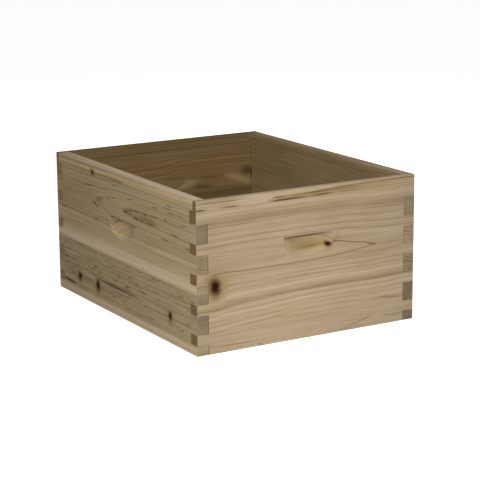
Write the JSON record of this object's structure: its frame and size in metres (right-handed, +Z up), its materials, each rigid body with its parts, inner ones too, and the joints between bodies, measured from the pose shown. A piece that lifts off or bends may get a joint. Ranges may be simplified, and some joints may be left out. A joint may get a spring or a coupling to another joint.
{
  "type": "beehive body box",
  "caption": "Deep open wooden beehive body: finger-jointed boards of glued planks, a scooped hand-hold in each side and rests for hanging frames.",
  "frame": {"origin": "centre of the bottom rim, on the plane the box stands on", "axes": "+Z up; +Y along the long side boards towards the rear end board; +X across the width, to the right when looking along +Y"},
  "size_m": [0.41, 0.505, 0.245],
  "materials": {
    "front_board_bottom_strip": "bare planed softwood, pale sapwood",
    "front_board_main_plank": "bare planed softwood, flat-sawn pinkish heartwood with knots",
    "front_board_top_strip": "bare planed softwood, straight grain with dark streaks",
    "rear_board_main_plank": "bare planed softwood, golden flat-sawn heartwood",
    "rear_board_top_strip": "bare planed softwood, striped straight grain",
    "left_board_lower_plank": "bare planed softwood, greyish heartwood with small knots",
    "left_board_upper_plank": "bare planed softwood, flat-sawn heartwood",
    "right_board_lower_plank": "bare planed softwood, dark-ringed heartwood",
    "right_board_upper_plank": "bare planed softwood, straight grain"
  },
  "bodies": {
    "root": {"front_board_bottom_strip": "front_board_bottom_strip", "front_board_main_plank": "front_board_main_plank", "front_board_top_strip": "front_board_top_strip", "rear_board_main_plank": "rear_board_main_plank", "rear_board_top_strip": "rear_board_top_strip", "left_board_lower_plank": "left_board_lower_plank", "left_board_upper_plank": "left_board_upper_plank", "right_board_lower_plank": "right_board_lower_plank", "right_board_upper_plank": "right_board_upper_plank"}
  },
  "joints": []
}
